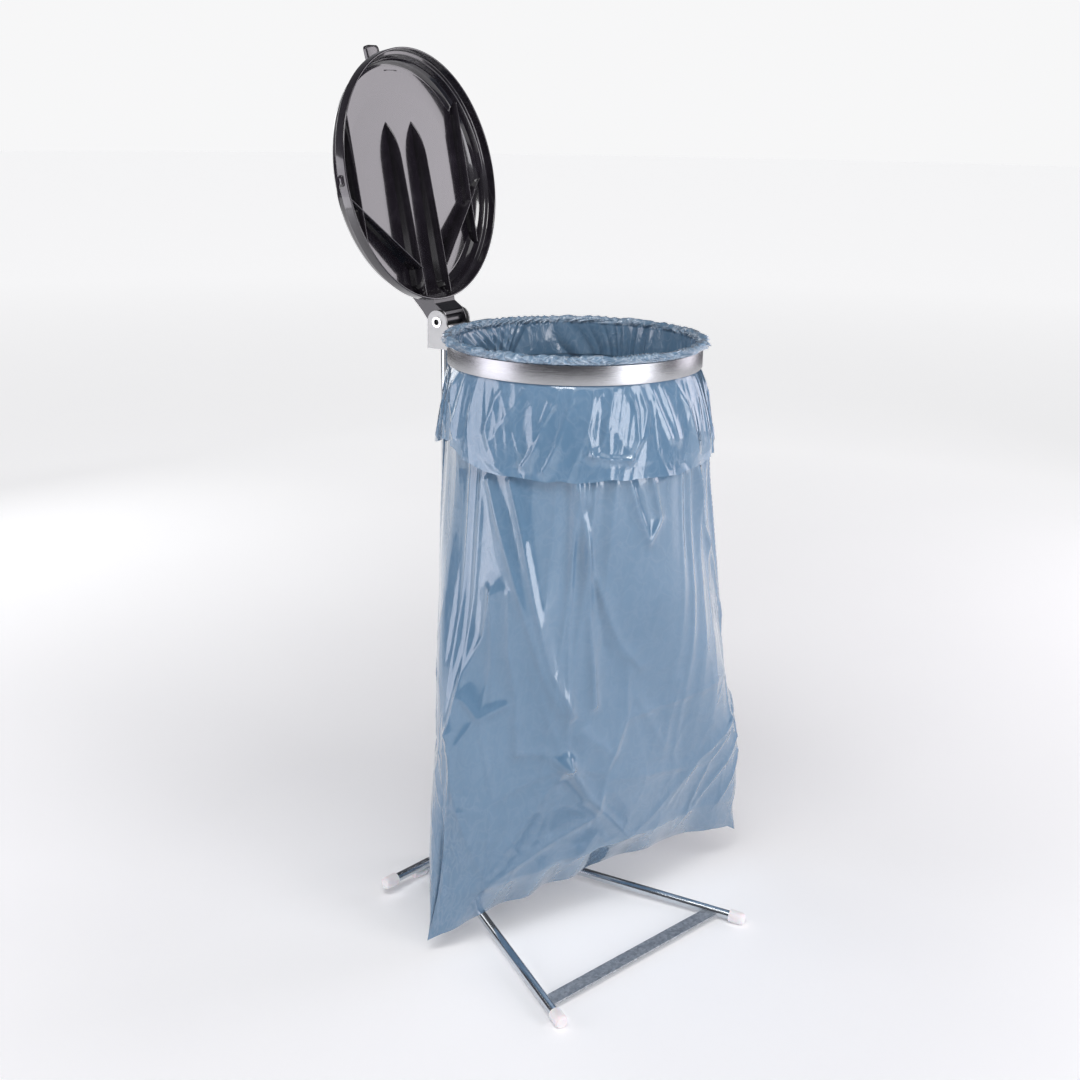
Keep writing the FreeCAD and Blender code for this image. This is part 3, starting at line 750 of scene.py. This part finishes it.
fold = graded(height, (0, 0.0), (250, 0.4), (500, 1.8), (700, 3.4), (850, 4.5), (958, 4.0))
loose = np.clip(0.5 + 0.45 * waves(angle, 2, 7, seed=12), 0.12, 1.0)
wide = 0.85 * pleats(angle, 15, 3.4, seed=3, sharp=0.9)
narrow = 0.15 * pleats(angle, 41, 4.0, seed=4, sharp=0.9)
push = fold * loose * (wide + narrow)
for line, rise, width, fade in RIDGES:
    push += ridge(angle, height, line, RIDGE_PULL * rise, width, fade)
near_weld = graded(height, (60, 0.2), (130, 1.0), (420, 0.8), (620, 0.0))
net = 3.6 * creases(angle, height, 46, seed=5) + 1.2 * creases(angle, height, 240, seed=6)
push += near_weld * (net - 1.5)
sway = waves(angle + 0.9 * (height / 400), 2, 6, seed=8)
push += graded(height, (60, 0), (160, 5), (500, 7), (900, 0)) * sway
push *= np.clip(deep / 60.0, 0.02, 1.0)
upper = np.clip((height - 885) / 60, 0, 1)
push += upper * (mouth(angle, height) - push)
print("folds stand from", push.min().round(1), "to", push.max().round(1), "mm")

# %% Points of the body
flare = 1 + graded(height, (20, 0.0), (110, 0.012), (300, 0.0)) * waves(height / 300.0, 2, 5, seed=9)
out_x, out_y = across * deep, np.sin(angle) * half
size = np.hypot(out_x, out_y) + 1e-9
hem_ripple = 5.0 * waves(across * 3.0, 3, 9, seed=11) * np.clip(drop * 8 - 7, 0, 1)
along_seam = half * across * flare + push * out_x / size
off_seam = deep * np.sin(angle) + push * out_y / size + hem_ripple
x = centre_x + along_seam * math.cos(SEAM_TURN) - off_seam * math.sin(SEAM_TURN)
y = centre_y + along_seam * math.sin(SEAM_TURN) + off_seam * math.cos(SEAM_TURN)
body_points = np.stack([x, y, height], -1) * MM + RING
# How crinkled the body's film is at each height; this also sets the painted highlight in its colour.
body_crinkle_and_sheen = graded(height, (40, 0.35), (120, 0.22), (500, 0.10), (900, 0.30))
body_crinkle_and_sheen += 0.5 * np.abs(across) ** 12 * (height < 300)
print("sack body", body_points.shape, "lowest", round(float(body_points[..., 2].min()), 4))

# %% [markdown]
# ## Roll and cuff
# Where the film goes over the bead it bunches into a soft, crinkled roll, and below the hoop
# the spare length flares out and ends in a ragged hem. One grid follows the whole way round
# the bead: up outside, over, and down inside, so the film is unbroken.

# %% Folds of the cuff
# Each is a line of (degrees round the sack, height in mm), then its rise, width and fade.
CUFF_RIDGES = [
    ([(244, 968), (241, 905), (243, 868)], 4.5, 4.0, (0.6, 1.0)),
    ([(252, 968), (250, 930), (247, 885), (243, 868)], 4.0, 4.0, (1.0, 0.6)),
    ([(258, 968), (262, 930), (262, 888), (258, 860)], 4.5, 4.0, (1.0, 0.8)),
    ([(264, 968), (267, 930), (264, 890), (258, 860)], 3.5, 5.0, (1.0, 0.8)),
    ([(243, 868), (250, 862), (258, 860)], 4.0, 4.0, (1.0, 1.0)),
    ([(248, 960), (246, 905), (246, 880)], -3.5, 7.0, (0.6, 1.0)),
    ([(269, 968), (275, 920), (280, 880)], 4.0, 4.0, (1.0, 0.7)),
    ([(275, 968), (281, 915), (285, 876)], 4.0, 5.0, (1.0, 0.5)),
    ([(284, 968), (292, 920), (298, 850)], 4.0, 6.0, (1.0, 0.8)),
    ([(318, 968), (322, 915), (326, 850)], 5.0, 7.0, (1.0, 1.0)),
    ([(340, 968), (334, 900), (331, 850)], 4.0, 8.0, (1.0, 1.0)),
    ([(205, 968), (200, 930), (197, 892), (203, 852)], 4.5, 9.0, (1.0, 0.7)),
    ([(216, 968), (208, 925), (201, 880)], 4.0, 7.0, (1.0, 0.5)),
    ([(230, 968), (224, 915), (220, 872), (215, 846)], 5.0, 7.0, (1.0, 1.0)),
    ([(236, 968), (232, 920), (229, 880), (224, 840)], 5.0, 8.0, (1.0, 0.8)),
    ([(227, 930), (219, 880), (213, 840)], -5.0, 8.0, (0.5, 1.0)),
    ([(172, 968), (174, 920), (180, 870)], 5.0, 8.0, (1.0, 1.0)),
    ([(150, 968), (154, 900), (150, 850)], 5.0, 9.0, (1.0, 1.0)),
    ([(20, 968), (26, 900), (24, 840)], 5.0, 9.0, (1.0, 1.0)),
    ([(58, 968), (50, 900), (53, 840)], 5.0, 8.0, (1.0, 1.0)),
    ([(92, 968), (98, 900), (88, 840)], 5.0, 9.0, (1.0, 1.0)),
]
print("folds in the cuff:", len(CUFF_RIDGES))

# %% Cuff
CUFF_COLS = 720
CUFF_TOP = 969.5

ring_angle = angles(CUFF_COLS)[None]
hem_height = 826 + 34 * np.exp(-((np.degrees(ring_angle) - 172) / 20) ** 2)
hem_height += 0.9 * waves(ring_angle, 5, 40, seed=21) + 3.5 * waves(ring_angle, 2, 6, seed=22)
rise_up = np.linspace(0, 1, 56)[:, None]
cuff_z = hem_height + (CUFF_TOP - hem_height) * rise_up
spread = (1 - rise_up) ** 0.8
cuff_r = 203.0 + 21.5 * spread + 2.0 * np.sin(np.pi * rise_up)
lean = ring_angle + 0.10 * (1 - rise_up) * waves(ring_angle, 2, 6, seed=31)
puckered = np.clip(0.45 + 0.5 * waves(ring_angle, 2, 8, seed=30), 0.08, 1.0)
wide = 2.6 * puckered * pleats(lean, 17, 3.6, seed=23, sharp=0.9)
narrow = 1.2 * pleats(lean, 53, 4.0, seed=24, sharp=0.9) * rise_up
cuff_fold = (wide + narrow) * (np.clip(spread * 1.6, 0, 1) * (1 - 0.35 * (1 - rise_up) ** 3) + 0.04)
cuff_fold += spread ** 0.5 * 3.0 * waves(ring_angle + 0.3 * rise_up, 3, 8, seed=25)
free = np.clip(spread * 4, 0, 1)
cuff_angle = ring_angle + 0 * rise_up
for line, rise, width, fade in CUFF_RIDGES:
    cuff_fold += ridge(cuff_angle, cuff_z, line, rise, width, fade) * free
cuff_fold += (1.6 * creases(cuff_angle, cuff_z, 150, seed=26) - 0.6) * free
print("the cuff's hem is between", cuff_z.min().round(), "and", cuff_z[0].max().round(), "mm high")

# %% Roll over the bead
BEAD_R, BEAD_Z = 204.5, 1007.2
ROLL_START, ROLL_END = math.radians(-62), math.radians(196)
INSIDE_TOP, INSIDE_LOW = 1003.5, 950.0

slot_z = np.linspace(970.5, 1000.2, 8)[:, None] + 0 * ring_angle
slot_r = 202.2 + 0 * slot_z
turn = np.linspace(ROLL_START, ROLL_END, 40)[:, None]
slant = ring_angle + 0.09 * np.sin(turn * 1.2) * (0.6 + waves(ring_angle, 3, 11, seed=32))
bunch = 0.55 * pleats(slant, 64, 4.5, seed=27, sharp=0.7)
bunch += 0.45 * pleats(slant - 0.07 * turn, 139, 5.0, seed=28, sharp=0.9)
lumps = waves(ring_angle + 0.03 * turn, 5, 24, seed=29)
swell = 8.2 + 0.9 * lumps + 3.4 * bunch + 2.6 * knot(ring_angle)
outward = np.clip(swell * 1.28, 6.2, 15.5)
inward = np.clip(swell * 1.05, 6.4, 12.0)
upward = np.clip(swell * 0.86, 5.6, 8.6)
roll_r = BEAD_R + np.where(np.cos(turn) > 0, outward, inward) * np.cos(turn)
roll_z = BEAD_Z + np.where(np.sin(turn) > 0, upward, 6.2) * np.sin(turn)
inside = np.linspace(0, 1, 26)[1:, None]
inside_z = INSIDE_TOP - inside * (INSIDE_TOP - INSIDE_LOW) + 0 * ring_angle
inside_r = 197.0 + 0.9 * (1 - inside) + mouth(ring_angle, inside_z)
print("the roll is up to", outward.max().round(1), "mm thick outside the bead")

# %% Points of the roll and cuff
# Each stretch is its radii, its heights and how crinkled its film is, which also sets how much painted
# highlight the film's colour gets.
STRETCHES = [
    (cuff_r + cuff_fold, cuff_z, 0.35),
    (slot_r, slot_z, 0.2),
    (roll_r, roll_z, 1.3),
    (inside_r, inside_z, 0.45),
]
radius = np.concatenate([r for r, z, crinkled in STRETCHES])
level = np.concatenate([z for r, z, crinkled in STRETCHES])
cuff_crinkle_and_sheen = np.concatenate([np.full(len(r), crinkled) for r, z, crinkled in STRETCHES])
world = ring_angle + SEAM_TURN
cuff_points = np.stack([radius * np.cos(world), radius * np.sin(world), level], -1) * MM + RING
print("roll and cuff", cuff_points.shape, "top", round(float(cuff_points[..., 2].max()), 4))

# %% [markdown]
# ## Film
# Film this thin is half clear: some light goes through, and the back of the sack shows faintly.
# Its shine comes from a smooth skin over many little creases, so the bump is a net of cells that
# is strongest where the piece's crinkle attribute is high, plus long faint draw lines. Where the
# crinkle is high, the colour is also painted paler: a painted highlight on the crease crests.

# %% Film material
def film_finish(name, clear):
    """Steel-blue film. Draw lines run along v. Each net of creases is noise folded about its
    middle, 1 - |2n - 1|, which turns its zero line into a sharp, branching ridge."""
    f = Finish(name)
    uv = f.node("ShaderNodeUVMap", uv_map="length")
    crinkle_and_sheen = f.node("ShaderNodeAttribute", attribute_name="crinkle", out=2)

    def stretched(scale):
        return f.node("ShaderNodeMapping", {"Vector": uv, "Scale": scale})

    def net(scale, detail, stretch, warp):
        n = f.noise(stretched((1.0, stretch, 1.0)), scale, detail, 0.5, warp)
        return 1.0 - (n * 2.0 - 1.0).math("ABSOLUTE")

    coarse = net(15.0, 1.5, 0.55, 0.5) ** 9.0
    fine = net(48.0, 2.0, 0.7, 0.7) ** 7.0
    tiny = net(150.0, 3.0, 0.8, 0.4) ** 4.0
    lines = f.noise(stretched((130.0, 2.2, 1.0)), 1.0, 4.0, 0.6)
    mottle = f.noise(uv, 5.0, 3.0)
    base = f.mix(mottle, (0.088, 0.180, 0.290), (0.135, 0.240, 0.365))
    base = f.mix((lines * 0.25).held(0.25), base, (0.175, 0.28, 0.40))
    # Painted highlight: the crests of the fine creases are painted paler where the film is crinkled.
    base = f.mix((fine * crinkle_and_sheen * 0.35).held(0.35), base, (0.36, 0.46, 0.58))
    # On the roll the colour turns paler. This is partly the stacked film's own paler colour and partly a
    # painted highlight on the crease crests.
    gathered = ((crinkle_and_sheen - 0.8) * 1.3).held(0.6)
    base = f.mix(gathered, base, f.mix(fine, (0.17, 0.28, 0.40), (0.52, 0.62, 0.74)))
    creased = f.bump(coarse * crinkle_and_sheen, 0.5, 0.0030)
    creased = f.bump(fine * crinkle_and_sheen, 0.5, 0.0014, creased)
    creased = f.bump(tiny * (crinkle_and_sheen + 0.1), 0.25, 0.0004, creased)
    normal = f.bump(lines, 0.12, 0.0012, creased)
    return f.done(Base_Color=base, Roughness=lines * 0.06 + mottle * 0.08 + 0.07, IOR=1.52,
                  Alpha=clear, Coat_Weight=1.0, Coat_Roughness=0.04, Normal=normal)


film = film_finish("steel-blue refuse film", 0.93)

# %% Film pieces
def round_film(cols):
    """Lengths round the sack at the grid's columns, in metres."""
    return np.arange(cols + 1) * SACK_ROUND / cols


body = surface("sack_film", body_points[::-1], around=True, u=round_film(COLS),
               v=np.arange(ROWS + 1) * BODY_LENGTH / ROWS, crinkle=body_crinkle_and_sheen[::-1])
tidy(body)
dress(body, film, "stand", "blue_film", "sack_body")

cuff_v = lengths(cuff_points[:, 0])
cuff = surface("sack_roll_and_cuff", cuff_points, around=True, u=round_film(CUFF_COLS),
               v=np.append(cuff_v, cuff_v[-1] + MM), crinkle=cuff_crinkle_and_sheen[:, None])
dress(cuff, film, "stand", "blue_film", "sack_rim", "sack_cuff")

# %% [markdown]
# ## Studio
# Glossy film and plated tube only look right when they have something to mirror. Large soft
# panels with dark gaps between them give long highlights, over a pale floor under a pale sky.
# A dark curtain stands far outside and shows only in reflections, where it draws dark edges.

# %% Floor and curtain
STUDIO_STEPS = 96
FLOOR_RINGS = [0.0, 0.5, 1.5, 4.0, 10.0, 30.0]
FLOOR_DROP = 0.0005
CURTAIN_RADIUS, CURTAIN_HEIGHT = 5, 1.7


def grey(value):
    return (value, value, value)


def pale_floor():
    """A wide disc just under the stand, r cos a and r sin a, which glows a little more the
    further it is from the stand."""
    a = angles(STUDIO_STEPS)
    r = np.array(FLOOR_RINGS)[:, None]
    disc = np.stack([r * np.cos(a), r * np.sin(a), 0 * r * a - FLOOR_DROP], -1)
    floor = surface("floor", disc, around=True)
    tidy(floor)
    f = Finish("pale studio floor")
    grain = f.noise(f.place(), 3.0, 2.0)
    away = f.node("ShaderNodeVectorMath", {0: f.place()}, out=1, operation="LENGTH") / 12.0
    glow = f.ramp(away, [(0.06, grey(0.10)), (0.30, grey(0.62)), (0.75, grey(0.80))])
    base = f.mix(grain, (0.90, 0.90, 0.91), (0.93, 0.93, 0.935))
    floor.data.materials.append(f.done(Base_Color=base, Roughness=0.75, Specular_IOR_Level=0.1,
                                       Emission_Color=glow, Emission_Strength=0.8))
    return floor


def dark_curtain():
    """An upright cylinder of dark cloth round the studio."""
    a = np.append(angles(STUDIO_STEPS), 0.0)
    z = np.array([0.0, CURTAIN_HEIGHT])[:, None]
    x, y = CURTAIN_RADIUS * np.cos(a), CURTAIN_RADIUS * np.sin(a)
    curtain = surface("dark_curtain", np.stack([x + 0 * z, y + 0 * z, z + 0 * a], -1))
    f = Finish("dark studio curtain")
    base = f.mix(f.noise(f.place(), 2.0, 2.0), (0.02, 0.02, 0.03), (0.04, 0.04, 0.05))
    curtain.data.materials.append(f.done(Base_Color=base, Roughness=0.9, Specular_IOR_Level=0.1))
    for ray in ("camera", "diffuse", "shadow", "transmission"):
        setattr(curtain, "visible_" + ray, False)
    return curtain


floor = pale_floor()
curtain = dark_curtain()
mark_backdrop(floor, curtain)


# %% Sky
def studio_sky():
    """Even and pale where it is seen, and darker where it lights: dimmer from the floor's level
    up, so that panels and floor do the lighting."""
    sky = bpy.data.worlds.new("studio")
    sky.use_nodes = True
    g = Graph(sky.node_tree)
    up = g.node("ShaderNodeSeparateXYZ", {0: g.node("ShaderNodeTexCoord", out="Generated")}, out="Z")
    shades = [(0.0, (0.34, 0.34, 0.37)), (0.34, (0.16, 0.16, 0.1696)),
              (0.62, (0.08, 0.08, 0.0848)), (1.0, (0.04, 0.04, 0.05))]
    lights = g.node("ShaderNodeBackground", {"Color": g.ramp(up, shades)})
    seen = g.node("ShaderNodeBackground", {"Color": (0.93, 0.93, 0.935)})
    seen_ray = g.node("ShaderNodeLightPath", out="Is Camera Ray")
    both = g.node("ShaderNodeMixShader", {0: seen_ray, 1: lights, 2: seen})
    g.node("ShaderNodeOutputWorld", {"Surface": both})
    return sky


bpy.context.scene.world = studio_sky()
print("sky with", len(bpy.context.scene.world.node_tree.nodes), "nodes")


# %% Panels and overhead light
def lamp(name, kind, power):
    """A light object of this kind."""
    light = bpy.data.objects.new(name, bpy.data.lights.new(name, kind))
    light.data.energy = power
    bpy.context.scene.collection.objects.link(light)
    return light


def panel(name, azimuth, height, distance, wide, tall, power, colour=(1, 1, 1)):
    """A soft panel that stands at this azimuth and looks at the middle of the stand."""
    light = lamp(name, "AREA", power)
    light.data.shape = "RECTANGLE"
    light.data.size = wide
    light.data.size_y = tall
    light.data.color = colour
    light.visible_camera = False
    a = math.radians(azimuth)
    light.location = (distance * math.sin(a), -distance * math.cos(a), height)
    low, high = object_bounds()
    light.rotation_euler = ((low + high) / 2 - light.location).to_track_quat("-Z", "Y").to_euler()


panel("panel left", -131, 0.95, 3.0, 1.9, 1.8, 30, (0.96, 0.93, 1.0))
panel("panel over", -75, 3.0, 1.6, 1.3, 1.0, 34)
panel("panel front", -6, 0.95, 3.0, 1.5, 1.8, 38, (0.97, 0.96, 1.0))
panel("panel right", 56, 1.55, 3.2, 1.4, 2.5, 28, (0.98, 0.93, 0.99))
panel("panel back", 165, 1.4, 3.0, 1.6, 1.4, 14)
overhead = lamp("soft overhead light", "SUN", 0.8)
overhead.data.angle = math.radians(50)
overhead.rotation_euler = (math.radians(28), math.radians(-22), 0)
print("lights:", len(bpy.data.lights))

# %% Camera
AZIMUTH, ELEVATION, ROLL = math.radians(-58.409), math.radians(16.968), math.radians(0.842)
FROM_RING = np.array([-2.064, -1.2085, 1.3968])
LENS, SENSOR, FAR = 49.66, 36.0, 100.0

lens = bpy.data.cameras.new("camera")
lens.lens = LENS
lens.sensor_width = SENSOR
lens.clip_end = FAR
camera = bpy.data.objects.new("camera", lens)
bpy.context.scene.collection.objects.link(camera)
camera.location = RING + FROM_RING
outward = np.array([math.sin(AZIMUTH), -math.cos(AZIMUTH), 0.0])
right = np.array([math.cos(AZIMUTH), math.sin(AZIMUTH), 0.0])
back = outward * math.cos(ELEVATION) + [0.0, 0.0, math.sin(ELEVATION)]
up = np.cross(back, right)
right, up = right * math.cos(ROLL) + up * math.sin(ROLL), up * math.cos(ROLL) - right * math.sin(ROLL)
camera.rotation_euler = Matrix(np.stack([right, up, back], 1).tolist()).to_euler()
bpy.context.scene.camera = camera
bpy.context.scene.view_settings.view_transform = "Standard"
print("camera", np.linalg.norm(FROM_RING).round(3), "m from the foot of the ring's axis")
